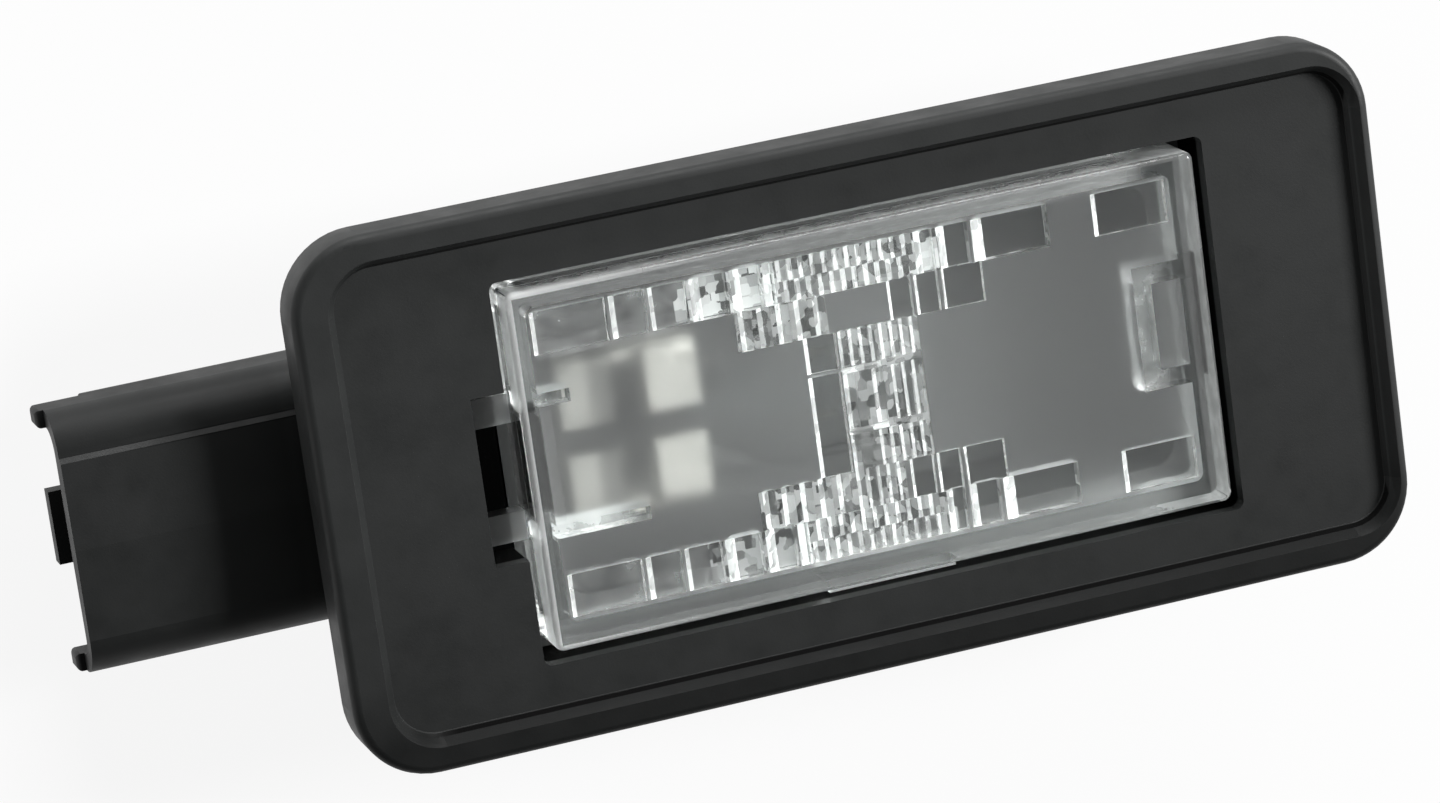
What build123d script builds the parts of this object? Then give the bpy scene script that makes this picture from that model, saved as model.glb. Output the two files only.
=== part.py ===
import os

from build123d import *

os.makedirs("parts", exist_ok=True)

# Number plate lamp, in millimetres.
# X runs along the lamp with the plug socket at -X, Y runs across it and +Z points out of the lens.
# Z = 0 is the rear face of the bezel, which seats on the car's panel.

# Bezel
bezel_length = 75.0
bezel_width = 36.4
bezel_corner = 5.2
flange_thickness = 2.0
rim_rise = 1.3
rim_width = 2.1
rim_left = 2.7
rim_right = 1.0
rim_edge_round = 0.6
rim_run = 0.7

# Lens and the window it sits in
window_shift = 0.85
lens_length = 48.2
lens_width = 24.4
lens_corner = 0.6
lens_edge_round = 0.4
lens_gap = 0.85
lens_proud = 0.4
lens_plate = 1.9
lens_skirt = 1.5
pocket_depth = 4.0
ledge_width = 2.2
lug_offset = 4.0
lug_width = 2.0
lug_thickness = 1.4
lug_rib_width = 0.9
lug_rib_upper = 2.2
lug_rib_lower = 6.5
side_lug_length = 9.0
side_lug_height = 2.6
catch_offset = 0.5
catch_width = 8.6
catch_thickness = 1.3
catch_bite = 0.9
catch_box_reach = 3.4
catch_box_wall = 1.3
part_clearance = 0.2
seat_clearance = 0.05

# Prism optics on the inner face of the lens
prism_height = 0.75
tooth_flat = 0.05
row_outer = 10.4
row_inner = 7.5
step_inner = 4.8
stem_mid = 2.1
stem_half = 4.2
fine_pitch = 0.8
fine_count = 12
step_pitch = 1.3
step_tooth = 0.9
step_count = 5
comb_pitch = 0.72
comb_tooth = 0.6
rail_spacing = 2.0
rail_tooth = 0.8
rung_width = 0.4
stem_flat = 2.3
stem_flat_depth = 0.35
block_draft = 0.1

# Blocks of the prism rows as (left end, right end, depth), the ends as shares of half the optics
edge_blocks = [
    (-0.99, -0.76, 0.35),
    (-0.75, -0.64, 0.45),
    (-0.63, -0.515, 0.35),
    (-0.505, -0.39, 0.85),
    (-0.38, -0.285, 0.8),
    (-0.28, -0.245, 0.6),
    (0.19, 0.25, 0.55),
    (0.26, 0.36, 0.75),
    (0.37, 0.61, 1.0),
    (0.75, 0.985, 0.4),
]
step_blocks = [
    (0.09, 0.165, 0.25),
    (0.175, 0.25, 0.25),
    (0.26, 0.39, 0.25),
]

# Screwdriver notch at the left of the window
notch_reach = 2.3
notch_width = 11.5
keeper_depth = 0.8
boss_wall = 2.0

# Body behind the bezel
wall = 1.6
tier_corner = 2.4
rib_thickness = 1.2
rib_spacing = 15.0

# Bulb
bulb_length = 26.8
bulb_radius = 4.9
glass_thickness = 0.7
wedge_width = 9.5
wedge_thickness = 2.2
wedge_length = 8.8
neck_radius = 3.2
neck_length = 2.6
bulb_stand_off = 3.6
bulb_lens_gap = 0.5
bulb_floor_gap = 0.4
lead_radius = 0.2
lead_spread = 3.2
lead_fold = 3.6
filament_reach = 9.0
filament_half = 2.2
filament_radius = 0.3
seal_clearance = 0.01

# Contact strips
strip_thickness = 0.8
blade_width = 2.8
blade_offset = 3.1
blade_reach = 11.0
blade_point = 0.5
finger_width = 3.5
finger_inner = 1.0
finger_start = 0.9
side_clearance = 0.25
fold_radius = 0.7
slot_clearance = 0.05

# Reflector tray
tray_wall = 0.9
tray_clearance = 0.15
tray_draft = 4.0
tray_corner = 2.0
cradle_wall = 0.9
cradle_rise = 1.9

# Plug shroud
shroud_reach = 15.1
shroud_width = 17.8
shroud_height = 7.6
shroud_wall = 1.2
shroud_round = 2.7
step_rise = 0.3
socket_depth = 18.0
lip_reach = 0.6
lip_height = 1.8
lip_round = 0.35
rear_cut = 3.0
tab_width = 5.0
lock_length = 2.4
lock_width = 3.6
lock_inset = 5.6
core_depth = 2.0
core_length = 3.6
core_width = 4.6
core_gap = 2.0

# Snap arm
arm_width = 10.0
arm_thickness = 1.4
arm_gap = 1.2
arm_tooth = 1.5
arm_top_gap = 2.3
arm_lift = 0.6

# Levels along Z
face_z = flange_thickness
rim_top = face_z + rim_rise
lens_front = face_z + lens_proud
seat_z = face_z - pocket_depth
ledge_z = seat_z - seat_clearance - tray_wall
optic_z = lens_front - lens_plate
axis_z = optic_z - prism_height - bulb_lens_gap - bulb_radius
floor_z = axis_z - bulb_radius - bulb_floor_gap
chamber_z = floor_z - tray_wall
rear_z = chamber_z - wall
step_z = ledge_z - wall
wedge_front = axis_z + wedge_thickness / 2
wedge_rear = axis_z - wedge_thickness / 2
blade_z = wedge_rear - strip_thickness / 2
strip_bottom = wedge_rear - strip_thickness
shroud_front = blade_z + shroud_height / 2
shroud_rear = blade_z - shroud_height / 2

# Positions along X
window_length = lens_length + 2 * lens_gap
window_width = lens_width + 2 * lens_gap
window_left = window_shift - window_length / 2
window_right = window_shift + window_length / 2
lens_left = window_shift - lens_length / 2
lens_right = window_shift + lens_length / 2
skirt_right = lens_right - lens_skirt
upper_length = window_length + 2 * wall
upper_width = window_width + 2 * wall
upper_right = window_right + wall
chamber_length = window_length - 2 * ledge_width
chamber_width = window_width - 2 * ledge_width
chamber_left = window_shift - chamber_length / 2
lower_length = chamber_length + 2 * wall
lower_width = chamber_width + 2 * wall
lower_right = window_shift + lower_length / 2
notch_left = window_left - notch_reach
boss_left = notch_left - boss_wall
shroud_mouth = -bezel_length / 2 - shroud_reach
socket_floor = shroud_mouth + socket_depth
base_x = chamber_left + bulb_stand_off
neck_x = base_x + wedge_length
strip_left = base_x - finger_start
strip_right = neck_x - slot_clearance * 2
filament_x = neck_x + filament_reach
side_y = wedge_width / 2 + side_clearance

# Housing
with BuildPart() as housing:
    # Bezel with its rounded rim, sloped inside, and the recessed face
    with BuildSketch(Plane.XY):
        RectangleRounded(bezel_length, bezel_width, bezel_corner)
    extrude(amount=rim_top)
    fillet(housing.faces().sort_by(Axis.Z)[-1].edges(), rim_edge_round)
    for recess_z, run in ((face_z, -rim_run), (rim_top, rim_run)):
        with BuildSketch(Plane.XY.offset(recess_z)):
            with Locations(((rim_left - rim_right) / 2, 0)):
                RectangleRounded(
                    bezel_length - rim_left - rim_right + run,
                    bezel_width - 2 * rim_width + run,
                    bezel_corner - rim_width + run / 2,
                )
    loft(mode=Mode.SUBTRACT)

    # Two tiers of the lamp chamber behind the bezel
    with BuildSketch(Plane.XY):
        with Locations((window_shift, 0)):
            RectangleRounded(upper_length, upper_width, tier_corner)
    extrude(amount=step_z)
    with BuildSketch(Plane.XY.offset(step_z)):
        with Locations((window_shift, 0)):
            RectangleRounded(lower_length, lower_width, tier_corner)
    extrude(amount=rear_z - step_z)

    # Boss round the screwdriver notch
    with BuildSketch(Plane.XY):
        with Locations((boss_left, 0)):
            Rectangle(
                window_left - boss_left,
                notch_width + 2 * wall,
                align=(Align.MIN, Align.CENTER),
            )
    extrude(amount=shroud_front)

    # Plug shroud with well rounded sides, the raised step in front and the lips at its mouth
    with BuildSketch(Plane.YZ.offset(shroud_mouth)):
        with Locations((0, blade_z)):
            RectangleRounded(shroud_width, shroud_height, shroud_round)
    extrude(amount=chamber_left - shroud_mouth)
    step_y = shroud_width / 2 - shroud_round
    with BuildSketch(Plane.YZ.offset(shroud_mouth)):
        with BuildLine():
            Polyline(
                (step_y, shroud_front - shroud_wall / 2),
                (step_y, shroud_front),
                (step_y - step_rise, shroud_front + step_rise),
                (0, shroud_front + step_rise),
                (-step_y, shroud_front),
                (-step_y, shroud_front - shroud_wall / 2),
                close=True,
            )
        make_face()
    extrude(amount=boss_left - shroud_mouth)
    lip_y = shroud_width / 2 - shroud_wall / 2
    with BuildSketch(Plane.YZ.offset(shroud_mouth - lip_reach)):
        with Locations((lip_y, blade_z), (-lip_y, blade_z)):
            Rectangle(shroud_wall, lip_height)
    extrude(amount=lip_reach + rear_cut)
    fillet(housing.faces().sort_by(Axis.X)[:2].edges(), lip_round)

    # Gussets between the two tiers along both long sides
    gusset_y = lower_width / 2 - wall / 2
    for rib in (-1, 0, 1):
        with BuildSketch(Plane.YZ.offset(window_shift + rib * rib_spacing)):
            with BuildLine():
                Polyline(
                    (gusset_y, step_z + wall / 2),
                    (upper_width / 2 - wall / 4, step_z + wall / 2),
                    (upper_width / 2 - wall / 4, step_z - wall / 2),
                    (gusset_y, chamber_z),
                    close=True,
                )
            make_face()
            mirror(about=Plane.YZ)
        extrude(amount=rib_thickness / 2, both=True)

    # Snap arm at the right end, folded up from the foot of the lower tier
    arm_in = upper_right + arm_gap
    arm_out = arm_in + arm_thickness
    arm_foot = rear_z + arm_lift
    with BuildSketch(Plane.XZ) as arm_profile:
        with BuildLine():
            Polyline(
                (lower_right - wall / 2, arm_foot),
                (arm_out, arm_foot),
                (arm_out, axis_z - bulb_radius / 2),
                (arm_out + arm_tooth, shroud_front - arm_tooth / 2),
                (arm_out, -arm_top_gap),
                (arm_in, -arm_top_gap),
                (arm_in, arm_foot + arm_thickness),
                (lower_right - wall / 2, arm_foot + arm_thickness),
                close=True,
            )
        make_face()
        arm_bend = arm_profile.vertices().group_by(Axis.Z)[0].sort_by(Axis.X)[-1]
        fillet(arm_bend, arm_thickness)
    extrude(amount=arm_width / 2, both=True)

    # Window with the notch, then the chamber below its ledge
    with BuildSketch(Plane.XY.offset(face_z)):
        with Locations((window_shift, 0)):
            RectangleRounded(window_length, window_width, lens_corner)
    extrude(amount=ledge_z - face_z, mode=Mode.SUBTRACT)
    with BuildSketch(Plane.XY.offset(face_z)):
        with Locations((notch_left, 0)):
            Rectangle(
                notch_reach + lens_gap,
                notch_width,
                align=(Align.MIN, Align.CENTER),
            )
    extrude(amount=-pocket_depth, mode=Mode.SUBTRACT)
    with BuildSketch(Plane.XY.offset(ledge_z)):
        with Locations((window_shift, 0)):
            RectangleRounded(chamber_length, chamber_width, tray_corner + tray_clearance)
    extrude(amount=chamber_z - ledge_z, mode=Mode.SUBTRACT)

    # Keeper pockets for the lens lugs and the slot for the lens catch
    with BuildSketch(Plane.XY.offset(seat_z)):
        with Locations((notch_left, lug_offset), (notch_left, -lug_offset)):
            Rectangle(2 * keeper_depth, lug_width + 2 * part_clearance)
    extrude(amount=lug_thickness + part_clearance, mode=Mode.SUBTRACT)
    with BuildSketch(Plane.XY.offset(seat_z)):
        with Locations((window_right, catch_offset)):
            Rectangle(4 * wall, catch_width + 2 * part_clearance)
    extrude(amount=catch_thickness + part_clearance, mode=Mode.SUBTRACT)

    # Socket of the plug, open at the mouth
    with BuildSketch(Plane.YZ.offset(shroud_mouth)):
        with Locations((0, blade_z)):
            RectangleRounded(
                shroud_width - 2 * shroud_wall,
                shroud_height - 2 * shroud_wall,
                shroud_round - shroud_wall,
            )
    extrude(amount=socket_depth, mode=Mode.SUBTRACT)

    # Rear side of the mouth cut back, leaving a tab, and the lock window for the plug
    with BuildSketch(Plane.XY.offset(shroud_rear)):
        with Locations((shroud_mouth, 0)):
            Rectangle(2 * rear_cut, shroud_width)
    extrude(amount=shroud_height / 2 - lip_height / 2, mode=Mode.SUBTRACT)
    with BuildSketch(Plane.XY.offset(shroud_rear)):
        with Locations((shroud_mouth, 0)):
            Rectangle(rear_cut + shroud_wall, tab_width, align=(Align.MIN, Align.CENTER))
    extrude(amount=shroud_wall)
    with BuildSketch(Plane.XY.offset(shroud_rear)):
        with Locations((shroud_mouth + lock_inset, 0)):
            Rectangle(lock_length, lock_width)
    extrude(amount=shroud_wall * 1.5, mode=Mode.SUBTRACT)

    # Slots for the contact strips and cored pockets behind the socket
    with BuildSketch(Plane.YZ.offset(socket_floor)):
        with Locations((blade_offset, blade_z), (-blade_offset, blade_z)):
            Rectangle(blade_width + 2 * slot_clearance, strip_thickness + 2 * slot_clearance)
    extrude(amount=chamber_left - socket_floor, mode=Mode.SUBTRACT)
    core_x = socket_floor + core_gap + core_length / 2
    with BuildSketch(Plane.XY.offset(shroud_rear)):
        with Locations((core_x, blade_offset), (core_x, -blade_offset)):
            Rectangle(core_length, core_width)
    extrude(amount=core_depth, mode=Mode.SUBTRACT)
housing.part.label = "housing"
export_step(housing.part, "parts/housing.step")

# Clear lens
with BuildPart() as lens:
    # Front wall with rounded edges, hollowed from behind to leave the skirt
    with BuildSketch(Plane.XY.offset(seat_z)):
        with Locations((window_shift, 0)):
            RectangleRounded(lens_length, lens_width, lens_corner)
    extrude(amount=lens_front - seat_z)
    fillet(lens.faces().sort_by(Axis.Z)[-1].edges(), lens_edge_round)
    with BuildSketch(Plane.XY.offset(seat_z)):
        with Locations((window_shift, 0)):
            RectangleRounded(
                lens_length - 2 * lens_skirt,
                lens_width - 2 * lens_skirt,
                lens_corner,
            )
    extrude(amount=optic_z - seat_z, mode=Mode.SUBTRACT)

    # Lugs that hook under the bezel at the notch
    lug_tip = notch_left - keeper_depth + part_clearance
    with BuildSketch(Plane.XY.offset(seat_z)):
        with Locations((lug_tip, lug_offset), (lug_tip, -lug_offset)):
            Rectangle(
                lens_left + lens_skirt / 2 - lug_tip,
                lug_width,
                align=(Align.MIN, Align.CENTER),
            )
    extrude(amount=lug_thickness)

    # Ribs inside the lens in line with the lugs
    rib_y = lug_offset + lug_width / 4
    with BuildSketch(Plane.XY.offset(optic_z)):
        with Locations((lens_left + lens_skirt, rib_y)):
            Rectangle(lug_rib_upper, lug_rib_width, align=(Align.MIN, Align.CENTER))
        with Locations((lens_left + lens_skirt, -rib_y)):
            Rectangle(lug_rib_lower, lug_rib_width, align=(Align.MIN, Align.CENTER))
    extrude(amount=-lens_plate)

    # Catch at the right end, ramped below, and the open box that stiffens it
    with BuildSketch(Plane.XZ.offset(-catch_offset)):
        with BuildLine():
            Polyline(
                (lens_right - lens_skirt / 2, seat_z),
                (window_right - part_clearance, seat_z),
                (window_right + catch_bite, seat_z + catch_thickness / 2),
                (window_right + catch_bite, seat_z + catch_thickness),
                (lens_right - lens_skirt / 2, seat_z + catch_thickness),
                close=True,
            )
        make_face()
    extrude(amount=catch_width / 2, both=True)
    with BuildSketch(Plane.XY.offset(optic_z)):
        with Locations((skirt_right, catch_offset)):
            Rectangle(catch_box_reach, catch_width, align=(Align.MAX, Align.CENTER))
            Rectangle(
                catch_box_reach - catch_box_wall,
                catch_width - 2 * catch_box_wall,
                align=(Align.MAX, Align.CENTER),
                mode=Mode.SUBTRACT,
            )
    extrude(amount=-lens_plate)

    # Centring lug at the middle of the lower side
    with BuildSketch(Plane.XY.offset(seat_z)):
        with Locations((window_shift, part_clearance - window_width / 2)):
            Rectangle(
                side_lug_length,
                lens_gap - part_clearance + lens_skirt / 2,
                align=(Align.CENTER, Align.MIN),
            )
    extrude(amount=side_lug_height)

    # Roof prisms as (top, bottom, left end, pitch, tooth width, count): the fine middles of the
    # edge rows, the stepped rows beside the stem, then the combs and the rails of the stem
    row_mid = (row_outer + row_inner) / 2
    fine_tooth = fine_pitch - tooth_flat
    fine_left = stem_half - fine_count * fine_pitch
    fine_inset = fine_left + fine_pitch / 2
    ladder_left = stem_flat + 2 * tooth_flat - stem_half
    comb_left = ladder_left + rail_spacing + rail_tooth + comb_tooth
    rung_half = rung_width / 2 + tooth_flat
    roof_rows = [
        (row_outer, row_mid, fine_left, fine_pitch, fine_tooth, fine_count),
        (row_mid, row_inner, fine_inset, fine_pitch, fine_tooth, fine_count - 1),
        (-row_inner, -row_mid, fine_inset, fine_pitch, fine_tooth, fine_count - 1),
        (-row_mid, -row_outer, fine_left, fine_pitch, fine_tooth, fine_count),
        (row_inner, step_inner, -2 * stem_half, step_pitch, step_tooth, step_count),
        (-step_inner, -row_inner, -2 * stem_half, step_pitch, step_tooth, step_count),
        (-step_inner, -row_inner, ladder_left, comb_pitch, comb_tooth, 5),
        (step_inner, stem_mid + rung_half, ladder_left, comb_pitch, comb_tooth, 8),
        (stem_mid - rung_half, rung_half - stem_mid, ladder_left, rail_spacing, rail_tooth, 2),
        (stem_mid - rung_half, rung_half - stem_mid, comb_left, comb_pitch, comb_tooth, 3),
        (-stem_mid - rung_half, -step_inner, ladder_left, comb_pitch, comb_tooth, 1),
        (-stem_mid - rung_half, -step_inner, ladder_left + rail_spacing, comb_pitch, comb_tooth, 5),
    ]
    for row_top, row_bottom, row_left, pitch, tooth_width, teeth in roof_rows:
        slope = (tooth_width - tooth_flat) / 2
        tooth_x = window_shift + row_left
        zigzag = [(tooth_x, optic_z + prism_height)]
        for tooth in range(teeth):
            zigzag.append((tooth_x, optic_z))
            zigzag.append((tooth_x + slope, optic_z - slope))
            zigzag.append((tooth_x + slope + tooth_flat, optic_z - slope))
            zigzag.append((tooth_x + tooth_width, optic_z))
            tooth_x += pitch
        zigzag.append((tooth_x - pitch + tooth_width, optic_z + prism_height))
        with BuildSketch(Plane.XZ.offset(-row_top)):
            with BuildLine():
                Polyline(*zigzag, close=True)
            make_face()
        extrude(amount=row_top - row_bottom)

    # Rungs that join the rails
    for rung_y in (stem_mid, -stem_mid):
        with BuildSketch(Plane.YZ.offset(window_shift + ladder_left)):
            with BuildLine():
                Polyline(
                    (rung_y - rung_width / 2, optic_z + prism_height),
                    (rung_y - rung_width / 2, optic_z),
                    (rung_y, optic_z - rung_width / 2),
                    (rung_y + rung_width / 2, optic_z),
                    (rung_y + rung_width / 2, optic_z + prism_height),
                    close=True,
                )
            make_face()
        extrude(amount=rail_spacing + rail_tooth)

    # Blocks with a facet at 45 degrees on the left: in the edge rows, right of the stem in the
    # stepped rows, and the long strip at the left of the stem
    optic_half = lens_length / 2 - lens_skirt
    flat_end = (stem_flat - stem_half) / optic_half
    stem_blocks = [(-stem_half / optic_half, flat_end, stem_flat_depth)]
    for block_top, block_bottom, blocks in (
        (row_outer, row_inner, edge_blocks),
        (-row_inner, -row_outer, edge_blocks),
        (row_inner, step_inner, step_blocks),
        (-step_inner, -row_inner, step_blocks),
        (step_inner, stem_mid + rung_half, stem_blocks),
        (stem_mid, -step_inner, stem_blocks),
    ):
        with BuildSketch(Plane.XZ.offset(-block_top)):
            for left_share, right_share, depth in blocks:
                block_left = window_shift + left_share * optic_half
                block_right = window_shift + right_share * optic_half
                with BuildLine():
                    Polyline(
                        (block_left, optic_z + prism_height),
                        (block_left, optic_z),
                        (block_left + depth, optic_z - depth),
                        (block_right - block_draft, optic_z - depth),
                        (block_right, optic_z),
                        (block_right, optic_z + prism_height),
                        close=True,
                    )
                make_face()
        extrude(amount=block_top - block_bottom)
lens.part.label = "lens"
export_step(lens.part, "parts/lens.step")

# Reflector tray: flange under the lens, open chamber and the cradle of the bulb
with BuildPart() as reflector_tray:
    tray_length = chamber_length - 2 * tray_clearance
    tray_width = chamber_width - 2 * tray_clearance
    with BuildSketch(Plane.XY.offset(chamber_z)):
        with Locations((window_shift, 0)):
            RectangleRounded(tray_length, tray_width, tray_corner)
    extrude(amount=ledge_z - chamber_z)
    with BuildSketch(Plane.XY.offset(ledge_z)):
        with Locations((window_shift, 0)):
            RectangleRounded(
                window_length - 2 * tray_clearance,
                window_width - 2 * tray_clearance,
                lens_corner,
            )
    extrude(amount=tray_wall)
    with BuildSketch(Plane.XY.offset(seat_z)):
        with Locations((window_shift, 0)):
            RectangleRounded(
                tray_length - 2 * tray_wall,
                tray_width - 2 * tray_wall,
                tray_corner - tray_wall / 2,
            )
    extrude(amount=floor_z - seat_z, taper=tray_draft, mode=Mode.SUBTRACT)

    # Cradle: a block under the contact strips with a wall beside each and a rib between them
    tray_left = chamber_left + tray_clearance
    cradle_width = 2 * (side_y + strip_thickness + part_clearance + cradle_wall)
    with BuildSketch(Plane.XY.offset(chamber_z)):
        with Locations((tray_left + tray_wall / 2, 0)):
            Rectangle(
                strip_right - tray_left - tray_wall / 2,
                cradle_width,
                align=(Align.MIN, Align.CENTER),
            )
    extrude(amount=strip_bottom + cradle_rise - chamber_z)
    channel_inner = blade_offset - blade_width / 2 - slot_clearance
    channel_outer = side_y + strip_thickness + part_clearance
    channel_left = strip_left - part_clearance
    with BuildSketch(Plane.XY.offset(strip_bottom)):
        with Locations((channel_left, 0)):
            Rectangle(
                strip_right - channel_left,
                2 * channel_outer,
                align=(Align.MIN, Align.CENTER),
            )
            Rectangle(
                strip_right - channel_left,
                2 * channel_inner,
                align=(Align.MIN, Align.CENTER),
                mode=Mode.SUBTRACT,
            )
    extrude(amount=2 * cradle_rise, mode=Mode.SUBTRACT)
    with BuildSketch(Plane.XY.offset(wedge_rear)):
        with Locations((channel_left, 0)):
            Rectangle(
                strip_right - channel_left,
                2 * channel_outer,
                align=(Align.MIN, Align.CENTER),
            )
    extrude(amount=2 * cradle_rise, mode=Mode.SUBTRACT)

    # Slots in the left wall for the contact strips
    with BuildSketch(Plane.YZ.offset(tray_left)):
        with Locations((blade_offset, strip_bottom), (-blade_offset, strip_bottom)):
            Rectangle(
                blade_width + 2 * slot_clearance,
                strip_thickness + slot_clearance,
                align=(Align.CENTER, Align.MIN),
            )
    extrude(amount=strip_left - tray_left, mode=Mode.SUBTRACT)
reflector_tray.part.label = "reflector_tray"
export_step(reflector_tray.part, "parts/reflector_tray.step")

# Upper contact strip: blade, base plate and two fingers folded over the wedge of the bulb
with BuildPart() as contact_strip_upper:
    fold_y = side_y + strip_thickness / 2
    finger_z = wedge_front + strip_thickness / 2
    with BuildSketch(Plane.YZ.offset(strip_left)):
        with BuildLine():
            FilletPolyline(
                (blade_offset - blade_width / 2, blade_z),
                (fold_y, blade_z),
                (fold_y, finger_z),
                (finger_inner, finger_z),
                radius=fold_radius,
            )
        trace(line_width=strip_thickness)
    extrude(amount=strip_right - strip_left)
    with BuildSketch(Plane.XY.offset(wedge_front)):
        with Locations((strip_left + finger_width, finger_inner)):
            Rectangle(
                strip_right - strip_left - 2 * finger_width,
                fold_y - finger_inner,
                align=(Align.MIN, Align.MIN),
            )
    extrude(amount=2 * strip_thickness, mode=Mode.SUBTRACT)
    blade_tip = socket_floor - blade_reach
    with BuildSketch(Plane.YZ.offset(blade_tip)):
        with Locations((blade_offset, blade_z)):
            Rectangle(blade_width, strip_thickness)
    extrude(amount=strip_left - blade_tip)
    blade_end = contact_strip_upper.faces().sort_by(Axis.X)[0]
    blade_edges = blade_end.edges().filter_by(Axis.Y)
    chamfer(blade_edges, strip_thickness / 3, blade_point, reference=blade_end)
contact_strip_upper.part.label = "contact_strip_upper"
export_step(contact_strip_upper.part, "parts/contact_strip_upper.step")

# Lower contact strip, the mirror of the upper one
with BuildPart() as contact_strip_lower:
    mirror(contact_strip_upper.part, about=Plane.XZ)
contact_strip_lower.part.label = "contact_strip_lower"
export_step(contact_strip_lower.part, "parts/contact_strip_lower.step")

# Path of the upper lead: folded on the wedge, through its glass and up to the filament
lead_z = wedge_front - 1.25 * lead_radius
lead_path = [
    (base_x + lead_fold, lead_spread, lead_z),
    (base_x - 2.5 * lead_radius, lead_spread, lead_z),
    (base_x - 2.5 * lead_radius, lead_spread, axis_z),
    (neck_x + 1.2 * neck_length, lead_spread, axis_z),
    (neck_x + 2.2 * neck_length, filament_half, axis_z),
    (filament_x + 2 * filament_radius, filament_half, axis_z),
]
bulb_axis = Axis((0, 0, axis_z), (1, 0, 0))
lead_plane = Plane(lead_path[0], x_dir=(0, 1, 0), z_dir=(-1, 0, 0))

# Upper lead wire
with BuildPart() as bulb_lead_upper:
    with BuildLine() as lead_line:
        Polyline(*lead_path)
    with BuildSketch(lead_plane):
        Circle(lead_radius)
    sweep(path=lead_line.wire(), transition=Transition.RIGHT)
bulb_lead_upper.part.label = "bulb_lead_upper"
export_step(bulb_lead_upper.part, "parts/bulb_lead_upper.step")

# Lower lead wire, folded on the other face of the wedge
with BuildPart() as bulb_lead_lower:
    add(bulb_lead_upper.part.rotate(bulb_axis, 180))
bulb_lead_lower.part.label = "bulb_lead_lower"
export_step(bulb_lead_lower.part, "parts/bulb_lead_lower.step")

# Filament between the ends of the two leads
with BuildPart() as bulb_filament:
    with BuildSketch(Plane.XZ.offset(lead_radius - filament_half)):
        with Locations((filament_x, axis_z)):
            Circle(filament_radius)
    extrude(amount=2 * (filament_half - lead_radius))
bulb_filament.part.label = "bulb_filament"
export_step(bulb_filament.part, "parts/bulb_filament.step")

# Passages of both leads through the glass
with BuildPart() as lead_passages:
    with BuildLine() as passage_line:
        Polyline(*lead_path)
    with BuildSketch(lead_plane):
        Circle(lead_radius + seal_clearance)
    sweep(path=passage_line.wire(), transition=Transition.RIGHT)
    groove_plane = Plane.XY.offset(wedge_front)
    with BuildSketch(groove_plane):
        with Locations((base_x, lead_spread)):
            Rectangle(
                lead_fold + lead_radius,
                3 * lead_radius,
                align=(Align.MIN, Align.CENTER),
            )
    extrude(amount=-2.5 * lead_radius)
    add(lead_passages.part.rotate(bulb_axis, 180))

# Bulb glass: round envelope, neck and flat wedge
with BuildPart() as bulb_glass:
    tip_x = base_x + bulb_length
    dome_x = tip_x - bulb_radius
    inner_radius = bulb_radius - glass_thickness
    inner_neck = neck_x + glass_thickness * 2
    with BuildSketch(Plane.XZ):
        with BuildLine():
            Polyline(
                (dome_x, axis_z),
                (neck_x, axis_z),
                (neck_x, axis_z + neck_radius),
                (neck_x + neck_length, axis_z + bulb_radius),
                (dome_x, axis_z + bulb_radius),
            )
            CenterArc((dome_x, axis_z), bulb_radius, 90, -90)
            Line((tip_x, axis_z), (dome_x, axis_z))
        make_face()
    revolve(axis=bulb_axis)
    with BuildSketch(Plane.YZ.offset(base_x)):
        with Locations((0, axis_z)):
            RectangleRounded(wedge_width, wedge_thickness, wedge_thickness / 4)
    extrude(amount=wedge_length + glass_thickness)
    with BuildSketch(Plane.XZ):
        with BuildLine():
            Polyline(
                (dome_x, axis_z),
                (inner_neck, axis_z),
                (inner_neck, axis_z + neck_radius - glass_thickness),
                (inner_neck + neck_length, axis_z + inner_radius),
                (dome_x, axis_z + inner_radius),
            )
            Polyline(
                (dome_x, axis_z + inner_radius),
                (dome_x + 0.707 * inner_radius, axis_z + 0.707 * inner_radius),
                (dome_x + 0.966 * inner_radius, axis_z + 0.259 * inner_radius),
                (dome_x + 0.966 * inner_radius, axis_z),
                (dome_x, axis_z),
            )
        make_face()
    revolve(axis=bulb_axis, mode=Mode.SUBTRACT)
    add(lead_passages.part, mode=Mode.SUBTRACT)
bulb_glass.part.label = "bulb_glass"
export_step(bulb_glass.part, "parts/bulb_glass.step")
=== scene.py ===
import math

import bpy
from mathutils import Euler, Matrix, Vector


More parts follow.
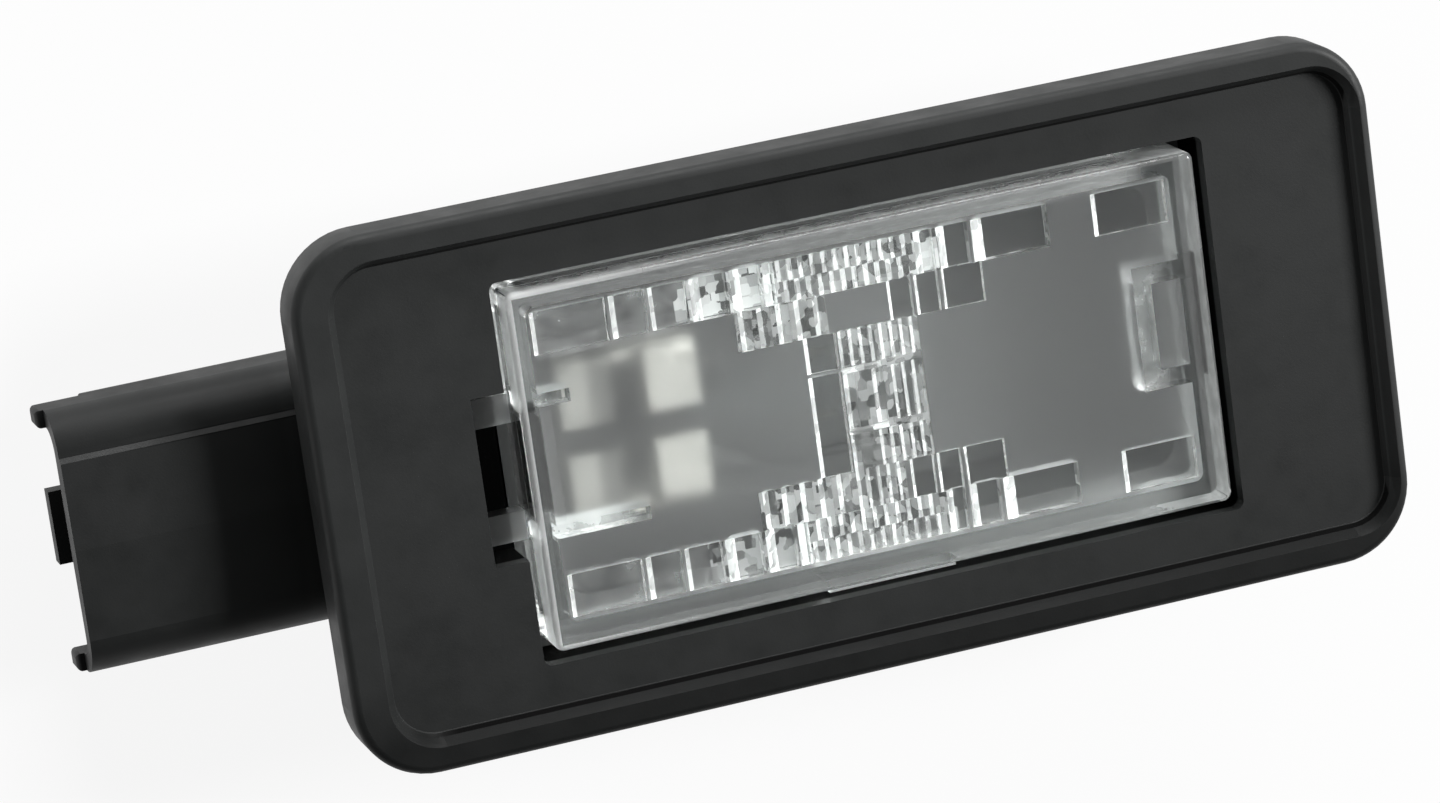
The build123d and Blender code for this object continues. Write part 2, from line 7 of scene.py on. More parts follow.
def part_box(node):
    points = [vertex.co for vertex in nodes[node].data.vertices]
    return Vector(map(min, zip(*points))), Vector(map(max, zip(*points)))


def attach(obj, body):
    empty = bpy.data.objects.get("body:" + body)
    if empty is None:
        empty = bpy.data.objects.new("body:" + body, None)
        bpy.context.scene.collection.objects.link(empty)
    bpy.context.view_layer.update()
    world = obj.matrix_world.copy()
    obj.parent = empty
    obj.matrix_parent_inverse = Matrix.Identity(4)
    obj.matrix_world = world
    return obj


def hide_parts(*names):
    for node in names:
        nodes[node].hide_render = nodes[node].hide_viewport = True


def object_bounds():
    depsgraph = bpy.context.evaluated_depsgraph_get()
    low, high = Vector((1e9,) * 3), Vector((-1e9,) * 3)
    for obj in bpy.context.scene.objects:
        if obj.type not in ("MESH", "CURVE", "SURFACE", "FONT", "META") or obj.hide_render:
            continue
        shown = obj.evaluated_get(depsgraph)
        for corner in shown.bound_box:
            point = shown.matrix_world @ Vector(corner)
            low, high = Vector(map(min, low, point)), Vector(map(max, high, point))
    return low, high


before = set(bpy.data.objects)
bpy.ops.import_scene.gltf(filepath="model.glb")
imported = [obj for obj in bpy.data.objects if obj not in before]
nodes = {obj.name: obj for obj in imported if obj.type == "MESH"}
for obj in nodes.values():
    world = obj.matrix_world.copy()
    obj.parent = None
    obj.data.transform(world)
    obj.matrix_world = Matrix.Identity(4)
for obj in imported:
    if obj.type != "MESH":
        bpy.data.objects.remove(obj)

cadLow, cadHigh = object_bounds()
scene = bpy.context.scene
mm = 0.001
softEdge = 0.1  # millimetres over which a zone in a material ends
print("frame loaded:", len(nodes), "nodes")

# camera at the photograph's viewing angle
photoCamera = {
    "place": (-116.503, 104.781, 372.543),
    "turn": (-12.52495, -17.97050, -8.13820),  # degrees about X, Y and Z
    "lens": 152.17,
    "sensor": 36.0,
    "clip": (0.01, 20.0),  # metres
}


def makeCamera(setup):
    data = bpy.data.cameras.new("photoCamera")
    data.lens = setup["lens"]
    data.sensor_width = setup["sensor"]
    data.clip_start, data.clip_end = setup["clip"]
    camera = bpy.data.objects.new("photoCamera", data)
    scene.collection.objects.link(camera)
    turn = Euler([math.radians(angle) for angle in setup["turn"]])
    camera.matrix_world = Matrix.LocRotScale(Vector(setup["place"]) * mm, turn, None)
    scene.camera = camera


makeCamera(photoCamera)
scene.view_settings.view_transform = "Standard"
print("camera set")


# short ways to build node materials
def startMaterial(name):
    material = bpy.data.materials.new(name)
    material.use_nodes = True
    tree = material.node_tree
    return material, tree, tree.nodes["Principled BSDF"]


def addNode(tree, kind, sockets):
    node = tree.nodes.new(kind)
    for name, value in sockets.items():
        node.inputs[name].default_value = value
    return node


def addMath(tree, operation, first, second=0.0):
    step = tree.nodes.new("ShaderNodeMath")
    step.operation = operation
    for socket, value in zip(step.inputs, (first, second)):
        if isinstance(value, (int, float)):
            socket.default_value = value
        else:
            tree.links.new(value, socket)
    return step.outputs["Value"]


# the middle of a noise, from 0.3 to 0.7, is spread over low to high unless other ends are given
def addRange(tree, value, low, high, fromLow=0.3, fromHigh=0.7):
    ends = {"From Min": fromLow, "From Max": fromHigh, "To Min": low, "To Max": high}
    span = addNode(tree, "ShaderNodeMapRange", ends)
    tree.links.new(value, span.inputs["Value"])
    return span.outputs["Result"]


def addNoise(tree, place, look, roughness=0.6):
    sockets = {"Scale": 1.0 / (look["size"] * mm), "Detail": look["detail"], "Roughness": roughness}
    noise = addNode(tree, "ShaderNodeTexNoise", sockets)
    tree.links.new(place, noise.inputs["Vector"])
    return noise.outputs["Fac"]


# square-cornered cells, each with its own share between dark and light
def addCells(tree, place, look, randomness=0.8, fromLow=0.1, fromHigh=0.75):
    sockets = {"Scale": 1.0 / (look["size"] * mm), "Randomness": randomness}
    cells = addNode(tree, "ShaderNodeTexVoronoi", sockets)
    cells.distance = "CHEBYCHEV"
    tree.links.new(place, cells.inputs["Vector"])
    parts = tree.nodes.new("ShaderNodeSeparateColor")
    tree.links.new(cells.outputs["Color"], parts.inputs["Color"])
    return addRange(tree, parts.outputs["Red"], look["dark"], look["light"], fromLow, fromHigh)


def addTint(tree, value, dark, light):
    tint = tree.nodes.new("ShaderNodeMix")
    tint.data_type = "RGBA"
    tint.inputs["A"].default_value = (*dark, 1.0)
    tint.inputs["B"].default_value = (*light, 1.0)
    tree.links.new(value, tint.inputs["Factor"])
    return tint.outputs["Result"]


def addShade(tree, colour, share):
    shade = tree.nodes.new("ShaderNodeVectorMath")
    shade.operation = "SCALE"
    tree.links.new(colour, shade.inputs[0])
    tree.links.new(share, shade.inputs["Scale"])
    return shade.outputs["Vector"]


def addBump(tree, height, look):
    bump = addNode(tree, "ShaderNodeBump", {"Strength": look["strength"], "Distance": look["depth"] * mm})
    tree.links.new(height, bump.inputs["Height"])
    return bump.outputs["Normal"]


def objectPlace(tree):
    return tree.nodes.new("ShaderNodeTexCoord").outputs["Object"]


def addParts(tree, vector):
    parts = tree.nodes.new("ShaderNodeSeparateXYZ")
    tree.links.new(vector, parts.inputs["Vector"])
    return parts.outputs


# masks, 1 inside a zone and 0 outside it, first in the value's own unit
def addBand(tree, value, ends, soft):
    rising = addRange(tree, value, 0.0, 1.0, ends[0] - soft, ends[0])
    falling = addRange(tree, value, 1.0, 0.0, ends[1], ends[1] + soft)
    return addMath(tree, "MULTIPLY", rising, falling)


# and from here on for places in millimetres
def addSpan(tree, value, ends, soft=softEdge):
    return addBand(tree, value, [end * mm for end in ends], soft * mm)


def addBelow(tree, value, limit):
    return addMath(tree, "LESS_THAN", value, limit * mm)


def addAbove(tree, value, limit):
    return addMath(tree, "GREATER_THAN", value, limit * mm)


def addNot(tree, mask):
    return addMath(tree, "SUBTRACT", 1.0, mask)


def addAll(tree, *masks):
    total = masks[0]
    for mask in masks[1:]:
        total = addMath(tree, "MULTIPLY", total, mask)
    return total


def addMost(tree, *masks):
    total = masks[0]
    for mask in masks[1:]:
        total = addMath(tree, "MAXIMUM", total, mask)
    return total


# share inside a zone, 1 outside it
def addGain(tree, mask, share):
    return addRange(tree, mask, 1.0, share, 0.0, 1.0)


# share that runs from one place to another, as two pairs of place and share
def addRamp(tree, value, ramp):
    (start, startShare), (end, endShare) = ramp
    return addRange(tree, value, startShare, endShare, start * mm, end * mm)


# black moulded plastic with a fine spark-eroded grain
blackPlastic = {
    "dark": (0.0196, 0.0210, 0.0208),
    "light": (0.0248, 0.0264, 0.0261),
    "rough": (0.46, 0.62),
    "shine": 0.32,
    "grain": {"size": 0.16, "detail": 3.0, "depth": 0.018, "strength": 0.35},
    "cloud": {"size": 3.5, "detail": 4.0},
    "zones": {
        "pocket": {  # deep shadow round the lens
            "along": (-26.6, 26.6),
            "across": 13.3,
            "height": (-3.2, 0.85),
            "soft": 0.3,
            "shade": 0.04,
        },
        "creaseShade": {  # painted shade: a dark line along the crease inside the rim
            "along": (-35.3, 36.15),
            "across": 16.4,
            "height": (2.10, 2.45),
            "soft": 0.06,
            "shade": 0.04,
        },
        "slopeLight": {  # painted light on the rim's inner slope at its right end, which faces away from the key lamp
            "along": (35.5, 36.4),
            "across": 12.6,
            "fade": 3.0,
            "height": (2.45, 3.0),
            "soft": 0.06,
            "shade": 2.4,
        },
    },
    "creaseShadeFade": ((-34.0, 0.0), (-30.5, 1.0)),  # the painted crease shade fades out towards the left end
    "shroud": ((-38.0, 0.74), (-37.4, 1.0)),  # painted shade: the plug shroud darker, deepening the bezel's shadow on it
    "lowerSideShade": ((-17.0, 0.70), (3.0, 0.97)),  # painted shade, darker towards the lower side as if lit from above
    "lowerRimShade": {"ramp": ((-16.0, 0.55), (-11.0, 1.0)), "above": 2.12},
    "shroudStep": {
        "ramp": ((-48.5, 1.0), (-43.5, 0.42)),
        "across": (5.9, 6.2),
        "right": -36.0,
        "below": -0.5,
    },
}


def housingZones(tree, spot, look):
    masks = {}
    for name, zone in look["zones"].items():
        sides = (-zone["across"], zone["across"])
        masks[name] = addAll(
            tree,
            addSpan(tree, spot["X"], zone["along"]),
            addSpan(tree, spot["Y"], sides, zone.get("fade", softEdge)),
            addSpan(tree, spot["Z"], zone["height"], zone["soft"]),
        )
    masks["creaseShade"] = addAll(tree, masks["creaseShade"], addRamp(tree, spot["X"], look["creaseShadeFade"]))
    return masks


# the edge of the shroud's step loses its light towards the bezel
def stepShade(tree, spot, step):
    onStep = addAll(
        tree,
        addSpan(tree, spot["Y"], step["across"]),
        addBelow(tree, spot["X"], step["right"]),
        addBelow(tree, spot["Z"], step["below"]),
    )
    return addMost(tree, addRamp(tree, spot["X"], step["ramp"]), addNot(tree, onStep))


# painted shade: the rim is darker along its lower side; the faces below it aren't
def rimShade(tree, spot, rim):
    offRim = addBelow(tree, spot["Z"], rim["above"])
    return addMost(tree, addRamp(tree, spot["Y"], rim["ramp"]), offRim)


def makeBlackPlastic(look):
    material, tree, shader = startMaterial("blackPlastic")
    place = objectPlace(tree)
    spot = addParts(tree, place)
    cloud = addNoise(tree, place, look["cloud"])
    masks = housingZones(tree, spot, look)
    # painted shade along the shroud's step and the rim's lower side, on the colour and, through the specular
    # tint, on the shine
    edges = addAll(tree, stepShade(tree, spot, look["shroudStep"]), rimShade(tree, spot, look["lowerRimShade"]))
    shade = addAll(
        tree,
        edges,
        addRamp(tree, spot["X"], look["shroud"]),
        addRamp(tree, spot["Y"], look["lowerSideShade"]),
        *(addGain(tree, mask, look["zones"][name]["shade"]) for name, mask in masks.items()),
    )
    tint = addTint(tree, cloud, look["dark"], look["light"])
    tree.links.new(addShade(tree, tint, shade), shader.inputs["Base Color"])
    rough = addMost(tree, addRange(tree, cloud, *look["rough"]), masks["pocket"], masks["creaseShade"])
    tree.links.new(rough, shader.inputs["Roughness"])
    glint = addAll(tree, edges, addGain(tree, masks["pocket"], 0.0))  # no shine in the deep shadow
    tree.links.new(glint, shader.inputs["Specular Tint"])
    shader.inputs["Specular IOR Level"].default_value = look["shine"]
    grain = addNoise(tree, place, look["grain"])
    tree.links.new(addBump(tree, grain, look["grain"]), shader.inputs["Normal"])
    return material


# lamps shine straight through clear pieces, sight is bent by them
def letLampsThrough(tree, shader, tint):
    passing = tree.nodes.new("ShaderNodeBsdfTransparent")
    passing.inputs["Color"].default_value = (*tint, 1.0)
    path = tree.nodes.new("ShaderNodeLightPath")
    mix = tree.nodes.new("ShaderNodeMixShader")
    tree.links.new(path.outputs["Is Shadow Ray"], mix.inputs["Fac"])
    tree.links.new(shader.outputs["BSDF"], mix.inputs[1])
    tree.links.new(passing.outputs["BSDF"], mix.inputs[2])
    tree.links.new(mix.outputs["Shader"], tree.nodes["Material Output"].inputs["Surface"])


# clear moulded lens: polished front, lightly frosted flats, whitened facets, walls and feet
# white and rough say how far a zone turns from clear; zones are measured from the lens's middle,
# and the ramps, ribs and notch lie in the part's frame
clearPlastic = {
    "tint": (0.95, 0.965, 0.96),
    "white": (0.92, 0.94, 0.935),
    "ior": 1.49,
    "smooth": 0.05,
    "seeThrough": 0.30,  # what a fully white face still lets through
    "middle": 0.85,  # the lens's middle along X
    "levelLift": (0.92, 0.98),  # upward part of a face's normal, 1 for a level face
    "uprightLift": (0.2, 0.4),
    "crisp": 0.01,
    # the white of the facets, block ends and frosted rows stands in for the sparkle of the prisms: painted
    # highlights on a frosted finish
    "facet": {"lift": (0.32, 0.87), "soft": 0.06, "white": 1.0, "rough": 0.34},
    "flat": {"height": (0.45, 0.55), "white": 0.12, "rough": 0.36},
    "block": {"height": (-0.62, 0.44), "white": 0.07, "rough": 0.24},
    "rowEnd": {"along": 22.45, "across": 10.5, "white": 0.5, "rough": 0.3},
    "leftShade": ((-17.0, 0.20), (-9.0, 1.0)),
    "cell": {"size": 0.9, "dark": 0.22, "light": 1.0},
    "speckle": {"size": 0.75, "dark": 0.7, "light": 1.0},
    "frostCell": {"size": 0.7, "dark": 0.1, "light": 1.0},
    "cloud": {"size": 1.6, "detail": 3.0, "dark": 0.35, "light": 1.0},
    "frost": (  # upper row, lower row, upper step, lower step, stem
        {"along": (-12.5, 6.0), "across": (7.6, 10.3), "white": 1.0, "rough": 0.22},
        {"along": (-12.5, 5.0), "across": (-10.3, -7.6), "white": 0.48, "rough": 0.22},
        {"along": (-8.6, -2.4), "across": (4.9, 7.4), "white": 0.50, "rough": 0.22},
        {"along": (-8.6, 1.6), "across": (-7.4, -4.9), "white": 0.55, "rough": 0.22},
        {"along": (-1.7, 3.8), "across": (-4.8, 4.8), "white": 0.50, "rough": 0.22},
    ),
    "mist": (  # left corners and the catch
        {"along": (-22.2, -12.6), "across": (7.2, 10.4), "top": 0.55, "white": 0.34, "rough": 0.3},
        {"along": (-22.2, -12.6), "across": (-10.4, -7.2), "top": 0.55, "white": 0.25, "rough": 0.3},
        {"along": (18.6, 22.5), "across": (-3.9, 4.9), "top": -1.0, "white": 0.48, "rough": 0.3},
    ),
    "catch": {"along": (17.6, 24.0), "across": (-5.5, 6.5), "shade": 0.12},
    "catchFrame": {"along": (18.5, 22.3), "across": (-4.5, 5.5), "shade": 0.35},
    "wall": {
        "along": (23.95, 24.12),
        "across": (12.05, 12.22),
        "soft": 0.02,
        "white": 0.72,
        "rough": 0.55,
        "rise": ((-0.2, 0.12), (1.5, 1.0)),
        # the walls whiter towards the right end, painted light where the window shades them, and at the left
        # end, a painted highlight
        "right": ((18.0, 0.0), (24.0, 1.6)),
        "left": ((-20.0, 0.0), (-23.0, 1.25)),
    },
    "lug": {"along": 24.15, "across": 12.25, "white": 0.05, "rough": 0.4, "shade": 0.42},
    "edge": {
        "along": 23.68,
        "across": 11.8,
        "level": 1.95,
        "white": 0.75,
        "rough": 0.4,
        # painted highlight: the front edge whiter towards the left end, where it catches the light
        "left": ((-8.0, 0.15), (-22.0, 1.0)),
    },
    "foot": {
        "along": (22.5, 24.1),
        "across": (10.6, 12.25),
        "level": -1.35,
        "white": 0.75,
        "rough": 0.5,
        # the foot whiter towards the right end, painted light where the window wall shades it, and less white
        # towards the lower side
        "right": ((16.0, 0.30), (23.5, 0.6)),
        "upper": ((-9.0, 0.38), (7.0, 1.0)),
    },
    "notch": {"right": -21.5, "across": (-3.2, 4.0), "soft": 0.2, "wall": 23.9, "shade": 0.08},
    "ribs": (
        {"right": -15.0, "across": (-5.2, -3.4), "height": (-1.7, 0.4), "white": 0.95, "rough": 0.4},
        {"right": -19.0, "across": (3.4, 5.2), "height": (-1.7, 0.4), "white": 0.30, "rough": 0.4},
    ),
    "ribFade": ((-15.6, 0.22), (-18.6, 1.0)),
    "haze": (  # on the front, at both ends: painted light, a white veil over the dark notch and catch slot behind
        {"along": (22.6, 24.1), "across": (-12.0, 12.0), "white": 0.10, "rough": 0.2},
        {"along": (-23.6, -22.2), "across": (-3.4, 4.2), "white": 0.08, "rough": 0.2},
    ),
}


# places on the lens and the way its faces point, shared by all its masks
def lensPlaces(tree, look):
    spot = objectPlace(tree)
    place = addParts(tree, spot)
    facing = addParts(tree, tree.nodes.new("ShaderNodeNewGeometry").outputs["Normal"])
    lift = addMath(tree, "ABSOLUTE", facing["Z"])
    fromMiddle = addMath(tree, "SUBTRACT", place["X"], look["middle"] * mm)
    along = addMath(tree, "ABSOLUTE", fromMiddle)
    across = addMath(tree, "ABSOLUTE", place["Y"])
    facet, foot, notch, cloud = (look[name] for name in ("facet", "foot", "notch", "cloud"))
    inSkirt = addAll(tree, addBelow(tree, along, foot["along"][1]), addBelow(tree, across, foot["across"][1]))
    behind = addBelow(tree, place["Z"], look["flat"]["height"][1])
    notchSpan = addSpan(tree, place["Y"], notch["across"], notch["soft"])
    return {
        "spot": spot,
        "x": place["X"],
        "y": place["Y"],
        "z": place["Z"],
        "fromMiddle": fromMiddle,
        "along": along,
        "across": across,
        "level": addRange(tree, lift, 0.0, 1.0, *look["levelLift"]),
        "upright": addRange(tree, lift, 1.0, 0.0, *look["uprightLift"]),
        "inSkirt": inSkirt,
        "behind": behind,
        "front": addAbove(tree, place["Z"], look["edge"]["level"]),
        "facets": addAll(tree, addBand(tree, lift, facet["lift"], facet["soft"]), inSkirt, behind),
        "inNotch": addAll(tree, notchSpan, addBelow(tree, place["X"], notch["right"])),
        "cloud": addRange(tree, addNoise(tree, spot, cloud), cloud["dark"], cloud["light"]),
    }


def inZone(tree, at, zone):
    along = addSpan(tree, at["fromMiddle"], zone["along"])
    return addAll(tree, along, addSpan(tree, at["y"], zone["across"]))


# past either limit, along or across
def outside(tree, at, along, across):
    return addMost(tree, addAbove(tree, at["along"], along), addAbove(tree, at["across"], across))


# prisms, blocks and flats behind the front wall
def opticsMasks(tree, look, at):
    facet, flat, block, rowEnd = (look[name] for name in ("facet", "flat", "block", "rowEnd"))
    cells = addCells(tree, at["spot"], look["cell"])
    catchShade = addGain(tree, inZone(tree, at, look["catch"]), look["catch"]["shade"])
    shade = addAll(tree, cells, addRamp(tree, at["x"], look["leftShade"]), catchShade)
    inBlocks = addSpan(tree, at["z"], block["height"], look["crisp"])
    inRows = addNot(tree, outside(tree, at, rowEnd["along"], rowEnd["across"]))
    onFlat = addSpan(tree, at["z"], flat["height"], look["crisp"])
    zones = [inZone(tree, at, zone) for zone in look["frost"]]
    frosted = addAll(tree, at["level"], at["behind"], addCells(tree, at["spot"], look["frostCell"]))
    masks = [
        (addAll(tree, at["facets"], shade), facet),
        (addAll(tree, onFlat, addNot(tree, addMost(tree, *zones))), flat),
        (addAll(tree, inBlocks, at["level"]), block),
        (addAll(tree, inBlocks, at["upright"], inRows, shade), rowEnd),
    ]
    masks += [(addAll(tree, mask, frosted), zone) for mask, zone in zip(zones, look["frost"])]
    for zone in look["mist"]:
        low = addBelow(tree, at["z"], zone["top"])
        masks.append((addAll(tree, inZone(tree, at, zone), at["level"], low, at["cloud"]), zone))
    return masks


# skirt walls, lugs, front edges and feet
def wallMasks(tree, look, at):
    wall, lug, edge, foot = (look[name] for name in ("wall", "lug", "edge", "foot"))
    ends = addSpan(tree, at["along"], wall["along"], wall["soft"])
    sides = addSpan(tree, at["across"], wall["across"], wall["soft"])
    pastNotch = addNot(tree, at["inNotch"])
    wallShade = addAll(
        tree,
        addMost(tree, addRamp(tree, at["z"], wall["rise"]), addRamp(tree, at["x"], wall["right"])),
        addMost(tree, at["cloud"], addRamp(tree, at["x"], wall["left"])),
    )
    onEdge = addAll(tree, outside(tree, at, edge["along"], edge["across"]), at["front"])
    onFoot = addAll(
        tree,
        outside(tree, at, foot["along"][0], foot["across"][0]),
        addBelow(tree, at["z"], foot["level"]),
        at["level"],
        at["inSkirt"],
    )
    footShade = addAll(tree, addRamp(tree, at["x"], foot["right"]), addRamp(tree, at["y"], foot["upper"]))
    return [
        (addAll(tree, addMost(tree, ends, sides), at["upright"], wallShade, pastNotch), wall),
        (outside(tree, at, lug["along"], lug["across"]), lug),
        (addAll(tree, onEdge, addRamp(tree, at["x"], edge["left"])), edge),
        (addAll(tree, onFoot, footShade, pastNotch), foot),
    ]


# ribs beside the notch and the haze on the front
def ribMasks(tree, look, at):
    masks = []
    fade = addAll(tree, at["inSkirt"], at["cloud"], addRamp(tree, at["x"], look["ribFade"]))
    for rib in look["ribs"]:
        span = addSpan(tree, at["y"], rib["across"])
        rise = addSpan(tree, at["z"], rib["height"], look["crisp"])
        masks.append((addAll(tree, span, rise, addBelow(tree, at["x"], rib["right"]), fade), rib))
    for zone in look["haze"]:
        masks.append((addAll(tree, inZone(tree, at, zone), at["front"], at["level"]), zone))
    return masks


# speckled prisms, with painted shade on the lugs, the catch frame and the notch wall
def lensShade(tree, look, at):
    notch, lug, catchFrame = (look[name] for name in ("notch", "lug", "catchFrame"))
    onFrame = addAll(tree, inZone(tree, at, catchFrame), addNot(tree, at["level"]), at["behind"])
    onNotch = addAll(tree, at["inNotch"], at["upright"], addAbove(tree, at["along"], notch["wall"]))
    return addAll(
        tree,
        addMost(tree, addCells(tree, at["spot"], look["speckle"]), addNot(tree, at["facets"])),
        addGain(tree, onFrame, catchFrame["shade"]),
        addGain(tree, onNotch, notch["shade"]),
        addGain(tree, addAbove(tree, at["along"], lug["along"]), lug["shade"]),
    )


def makeLens(look):
    material, tree, shader = startMaterial("lensClear")
    at = lensPlaces(tree, look)
    masks = opticsMasks(tree, look, at) + wallMasks(tree, look, at) + ribMasks(tree, look, at)
    white = addMost(tree, *(addMath(tree, "MULTIPLY", mask, zone["white"]) for mask, zone in masks))
    rough = addMost(tree, *(addMath(tree, "MULTIPLY", mask, zone["rough"]) for mask, zone in masks))
    tint = addTint(tree, white, look["tint"], look["white"])
    tree.links.new(addShade(tree, tint, lensShade(tree, look, at)), shader.inputs["Base Color"])
    tree.links.new(addMath(tree, "MAXIMUM", rough, look["smooth"]), shader.inputs["Roughness"])
    tree.links.new(addGain(tree, white, look["seeThrough"]), shader.inputs["Transmission Weight"])
    shader.inputs["IOR"].default_value = look["ior"]
    letLampsThrough(tree, shader, look["tint"])
    return material


# thin clear glass of the bulb
clearGlass = {"tint": (0.985, 0.99, 0.99), "rough": 0.0, "ior": 1.12}


def makeGlass(look):
    material, tree, shader = startMaterial("bulbGlass")
    shader.inputs["Base Color"].default_value = (*look["tint"], 1.0)
    shader.inputs["Roughness"].default_value = look["rough"]
    shader.inputs["IOR"].default_value = look["ior"]
    shader.inputs["Transmission Weight"].default_value = 1.0
    letLampsThrough(tree, shader, look["tint"])
    return material


# grey plastic of the reflector tray, with painted shade that darkens it towards the contacts and evens out
# the light in the chamber
greyPlastic = {
    "dark": (0.048, 0.050, 0.049),
    "light": (0.060, 0.062, 0.061),
    "fade": ((-12.0, 0.08), (8.0, 0.9)),
    "rough": 0.55,
    "grain": {"size": 0.25, "detail": 3.0, "depth": 0.01, "strength": 0.2},
}


def makeGreyPlastic(look):
    material, tree, shader = startMaterial("reflectorGrey")
    place = objectPlace(tree)
    grain = addNoise(tree, place, look["grain"])
    share = addRamp(tree, addParts(tree, place)["X"], look["fade"])
    tint = addTint(tree, grain, look["dark"], look["light"])
    tree.links.new(addShade(tree, tint, share), shader.inputs["Base Color"])
    shader.inputs["Roughness"].default_value = look["rough"]
    tree.links.new(addBump(tree, grain, look["grain"]), shader.inputs["Normal"])
    return material


# stained metals of the contact strips, the leads and the filament, with painted shade on the contact strips'
# left ends
tinnedBrass = {
    "dark": (0.47, 0.46, 0.43),
    "light": (0.54, 0.53, 0.50),
    "rough": (0.6, 0.72),
    "stain": {"size": 0.9, "detail": 4.0},
    # painted shade over the left ends of the contact strips, dimming them and hiding part of each pad
    "shadedPatches": (
        {"along": (-21.5, -15.6), "soft": 0.6, "shade": 0.66},
        {"along": (-16.9, -15.4), "soft": 0.4, "shade": 0.45},
    ),
}
leadSteel = {
    "dark": (0.12, 0.115, 0.11),
    "light": (0.18, 0.175, 0.165),
    "rough": (0.25, 0.4),
    "stain": {"size": 0.4, "detail": 4.0},
    "shadedPatches": (),
}
tungsten = {
    "dark": (0.10, 0.10, 0.105),
    "light": (0.17, 0.17, 0.175),
    "rough": (0.35, 0.5),
    "stain": {"size": 0.2, "detail": 4.0},
    "shadedPatches": (),
}


def makeMetal(name, look):
    material, tree, shader = startMaterial(name)
    place = objectPlace(tree)
    stain = addNoise(tree, place, look["stain"])
    tint = addTint(tree, stain, look["dark"], look["light"])
    for patch in look["shadedPatches"]:
        inPatch = addSpan(tree, addParts(tree, place)["X"], patch["along"], patch["soft"])
        tint = addShade(tree, tint, addGain(tree, inPatch, patch["shade"]))
    tree.links.new(tint, shader.inputs["Base Color"])
    tree.links.new(addRange(tree, stain, *look["rough"]), shader.inputs["Roughness"])
    shader.inputs["Metallic"].default_value = 1.0
    return material


blackMaterial = makeBlackPlastic(blackPlastic)
lensMaterial = makeLens(clearPlastic)
glassMaterial = makeGlass(clearGlass)
greyMaterial = makeGreyPlastic(greyPlastic)
tinMaterial = makeMetal("tinnedBrass", tinnedBrass)
leadMaterial = makeMetal("leadSteel", leadSteel)
filamentMaterial = makeMetal("tungsten", tungsten)
print("materials made")


# material of each node, and the rounding of its edges, 0 where it has none
nodeFinish = {
    "housing": (blackMaterial, 0.16),
    "lens": (lensMaterial, 0.07),
    "reflector_tray": (greyMaterial, 0.12),
    "contact_strip_upper": (tinMaterial, 0.06),
    "contact_strip_lower": (tinMaterial, 0.06),
    "bulb_glass": (glassMaterial, 0.0),
    "bulb_lead_upper": (leadMaterial, 0.0),
    "bulb_lead_lower": (leadMaterial, 0.0),
    "bulb_filament": (filamentMaterial, 0.0),
}
edgeRound = {"weld": 0.002, "segments": 2, "angle": 32}  # edges over this many degrees are rounded


def dressNode(name, material, width, setup):
    piece = nodes[name]
    piece.data.materials.clear()
    piece.data.materials.append(material)
    weld = piece.modifiers.new("weld", "WELD")
    weld.merge_threshold = setup["weld"] * mm
    if width:
        bevel = piece.modifiers.new("edgeRound", "BEVEL")
        bevel.width = width * mm
        bevel.segments = setup["segments"]
        bevel.limit_method = "ANGLE"
        bevel.angle_limit = math.radians(setup["angle"])
        bevel.harden_normals = False
        bevel.use_clamp_overlap = True


for name, (material, width) in nodeFinish.items():
    dressNode(name, material, width, edgeRound)
print("nodes dressed")

# coiled filament between the two leads
coil = {
    "turns": 12,
    "stepsPerTurn": 16,
    "radius": 0.26,
    "wire": 0.05,
    "sides": 6,
    "half": 1.75,
    "tail": 2.1,
    "lean": (0.3, 0.1, 1.0),  # a direction that the wire never quite takes
}


def tubeMesh(name, path, radius, sides, lean):
    points = []
    faces = []
    for index, point in enumerate(path):
        before = path[max(index - 1, 0)]
        after = path[min(index + 1, len(path) - 1)]
        tangent = (after - before).normalized()
        across = tangent.cross(Vector(lean)).normalized()
        other = tangent.cross(across)
        for side in range(sides):
            turn = 2 * math.pi * side / sides
            points.append(point + (across * math.cos(turn) + other * math.sin(turn)) * radius)
    for ring in range(len(path) - 1):
        for side in range(sides):
            near = ring * sides + side
            far = ring * sides + (side + 1) % sides
            faces.append((near, far, far + sides, near + sides))
    last = len(points) - sides
    faces.append(tuple(reversed(range(sides))))
    faces.append(tuple(range(last, last + sides)))
    mesh = bpy.data.meshes.new(name)
    mesh.from_pydata([tuple(point) for point in points], [], faces)
    mesh.polygons.foreach_set("use_smooth", [True] * len(mesh.polygons))
    return mesh


def makeCoil(setup):
    low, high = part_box("bulb_filament")
    middle = (low + high) / 2
    count = setup["turns"] * setup["stepsPerTurn"]
    path = [Vector((0, -setup["tail"], 0))]
    for step in range(count + 1):
        turn = 2 * math.pi * step / setup["stepsPerTurn"]
        along = setup["half"] * (2 * step / count - 1)
        path.append(Vector((math.cos(turn), 0, math.sin(turn))) * setup["radius"] + Vector((0, along, 0)))
    path.append(Vector((0, setup["tail"], 0)))
    path = [middle + point * mm for point in path]
    mesh = tubeMesh("filamentCoil", path, setup["wire"] * mm, setup["sides"], setup["lean"])
    piece = bpy.data.objects.new("filamentCoil", mesh)
    scene.collection.objects.link(piece)
    mesh.materials.append(filamentMaterial)
    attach(piece, "root")
    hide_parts("bulb_filament")


makeCoil(coil)
print("filament coiled")


# floor, seen as white but for the part's shadow; metres
paleFloor = {"size": 6.0, "gap": 0.0002, "colour": (0.86, 0.86, 0.86), "rough": 0.9, "glow": 0.90}


def seenDirectly(tree):
    path = tree.nodes.new("ShaderNodeLightPath")
    rays = ("Is Camera Ray", "Is Glossy Ray", "Is Transmission Ray")
    return addMost(tree, *(path.outputs[ray] for ray in rays))


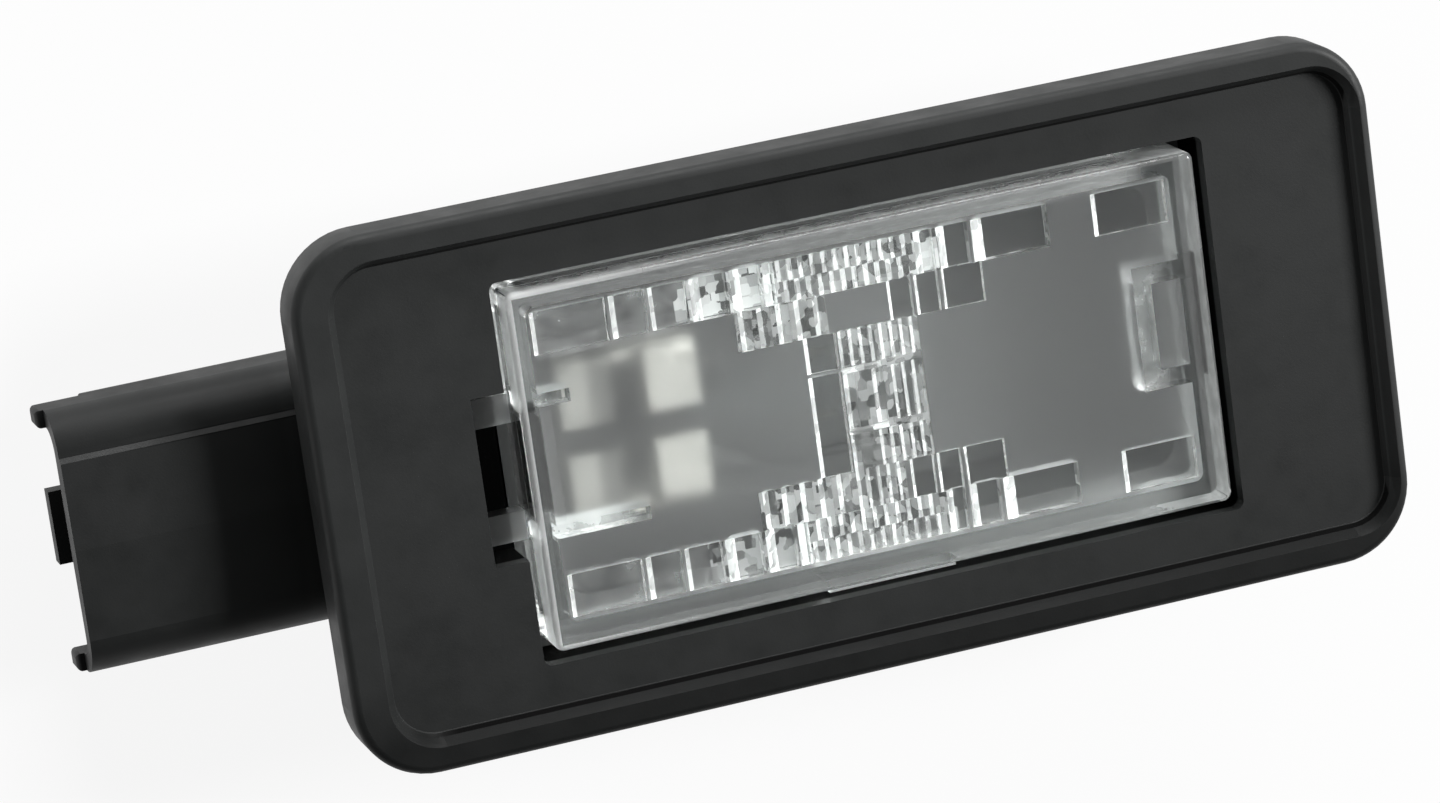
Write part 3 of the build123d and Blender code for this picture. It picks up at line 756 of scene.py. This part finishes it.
def makeFloor(setup):
    half = setup["size"] / 2
    mesh = bpy.data.meshes.new("floor")
    corners = [(-half, -half, 0), (half, -half, 0), (half, half, 0), (-half, half, 0)]
    mesh.from_pydata(corners, [], [(0, 1, 2, 3)])
    floor = bpy.data.objects.new("floor", mesh)
    scene.collection.objects.link(floor)
    floor.location.z = cadLow.z - setup["gap"]
    material, tree, shader = startMaterial("paleFloor")
    shader.inputs["Base Color"].default_value = (*setup["colour"], 1.0)
    shader.inputs["Roughness"].default_value = setup["rough"]
    shader.inputs["Specular IOR Level"].default_value = 0.0
    glow = tree.nodes.new("ShaderNodeEmission")
    glow.inputs["Strength"].default_value = 1.0
    mix = tree.nodes.new("ShaderNodeMixShader")
    tree.links.new(addMath(tree, "MULTIPLY", seenDirectly(tree), setup["glow"]), mix.inputs["Fac"])
    tree.links.new(shader.outputs["BSDF"], mix.inputs[1])
    tree.links.new(glow.outputs["Emission"], mix.inputs[2])
    tree.links.new(mix.outputs["Shader"], tree.nodes["Material Output"].inputs["Surface"])
    mesh.materials.append(material)


# studio surroundings, bright at the horizon and dim overhead: height and strength of both
paleStudio = {"horizon": (0.02, 0.80), "overhead": (0.30, 0.07)}


def makeWorld(setup):
    (low, lowStrength), (high, highStrength) = setup["horizon"], setup["overhead"]
    world = bpy.data.worlds.new("paleStudio")
    scene.world = world
    world.use_nodes = True
    tree = world.node_tree
    tree.nodes.clear()
    light = tree.nodes.new("ShaderNodeBackground")
    height = addParts(tree, tree.nodes.new("ShaderNodeTexCoord").outputs["Generated"])["Z"]
    tree.links.new(addRange(tree, height, lowStrength, highStrength, low, high), light.inputs["Strength"])
    output = tree.nodes.new("ShaderNodeOutputWorld")
    tree.links.new(light.outputs["Background"], output.inputs["Surface"])


# square lamps turned to the part; metres and watts
lamps = {
    "key": {"place": (1.20, 0.32, 1.05), "size": 0.50, "power": 29.0},
    "top": {"place": (0.15, 0.80, 0.22), "size": 0.50, "power": 5.2},
    "left": {"place": (-1.30, -0.05, 0.36), "size": 0.60, "power": 2.0},
}


def makeLamp(name, setup):
    data = bpy.data.lights.new(name + "Lamp", "AREA")
    data.shape = "SQUARE"
    data.size = setup["size"]
    data.energy = setup["power"]
    lamp = bpy.data.objects.new(name + "Lamp", data)
    scene.collection.objects.link(lamp)
    lamp.location = setup["place"]
    lamp.rotation_euler = (-Vector(setup["place"])).to_track_quat("-Z", "Y").to_euler()


makeFloor(paleFloor)
makeWorld(paleStudio)
for name, setup in lamps.items():
    makeLamp(name, setup)
print("stage lit")
